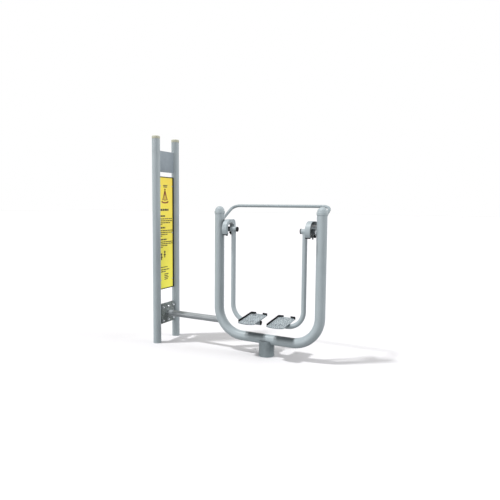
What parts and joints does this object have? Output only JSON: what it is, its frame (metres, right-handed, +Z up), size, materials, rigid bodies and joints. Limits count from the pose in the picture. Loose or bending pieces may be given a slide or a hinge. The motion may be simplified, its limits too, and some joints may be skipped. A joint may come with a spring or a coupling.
{
  "type": "outdoor air walker",
  "caption": "Outdoor air walker with two swinging arms and foot plates in a U-shaped tube frame, tied to a post pylon with a sign.",
  "frame": {"origin": "middle of the pedestal's foot, on the ground", "axes": "X from the pylon to the far leg, Y from the user's back to the hand rail, Z up"},
  "size_m": [1.6956, 0.4636, 2],
  "materials": {
    "paint": "satin powder coat",
    "zinc_plate": "zinc plated",
    "bearing_steel": "ground",
    "black_rubber": "moulded",
    "black_plastic": "moulded",
    "beige_plastic": "moulded",
    "sign_print": "printed sheet"
  },
  "bodies": {
    "frame": {"u_frame": "paint", "pedestal": "paint", "pedestal_plate": "paint", "pedestal_foot": "paint", "left_leg_cap": "paint", "right_leg_cap": "paint", "hand_rail": "paint", "front_post": "paint", "back_post": "paint", "front_post_cap": "beige_plastic", "back_post_cap": "beige_plastic", "upper_cross_plate": "paint", "lower_cross_plate": "paint", "sign_sheet": "sign_print", "sign_trim": "black_plastic", "sign_lugs": "paint", "sign_screws": "zinc_plate", "sign_nuts": "zinc_plate", "link_tube": "paint", "link_flange": "paint", "link_bolts": "zinc_plate", "link_washers": "zinc_plate", "link_nuts": "zinc_plate", "left_axle": "zinc_plate", "right_axle": "zinc_plate", "left_stop": "paint", "right_stop": "paint", "left_stop_pads": "black_rubber", "right_stop_pads": "black_rubber", "left_inner_races": "bearing_steel", "right_inner_races": "bearing_steel", "left_balls": "bearing_steel", "right_balls": "bearing_steel", "spacers": "zinc_plate", "lock_washers": "zinc_plate", "lock_nuts": "zinc_plate"},
    "left_arm": {"left_hub": "paint", "left_stop_lug": "paint", "left_outer_races": "bearing_steel", "left_seal": "black_rubber", "left_hub_cover": "black_plastic", "left_arm": "paint", "left_arm_plug": "black_plastic", "left_foot_brackets": "paint", "left_foot_plate": "paint", "left_foot_screws": "zinc_plate", "left_foot_nuts": "zinc_plate", "left_edge_guards": "black_rubber"},
    "right_arm": {"right_hub": "paint", "right_stop_lug": "paint", "right_outer_races": "bearing_steel", "right_seal": "black_rubber", "right_hub_cover": "black_plastic", "right_arm": "paint", "right_arm_plug": "black_plastic", "right_foot_brackets": "paint", "right_foot_plate": "paint", "right_foot_screws": "zinc_plate", "right_foot_nuts": "zinc_plate", "right_edge_guards": "black_rubber"}
  },
  "joints": [
    {"name": "left_swing", "type": "hinge", "parent": "frame", "child": "left_arm", "pos_m": [-0.35, 0, 1.132], "axis": [1, 0, 0], "range_deg": [-42.5, 42.5]},
    {"name": "right_swing", "type": "hinge", "parent": "frame", "child": "right_arm", "pos_m": [0.35, 0, 1.132], "axis": [1, 0, 0], "range_deg": [-42.5, 42.5]}
  ]
}
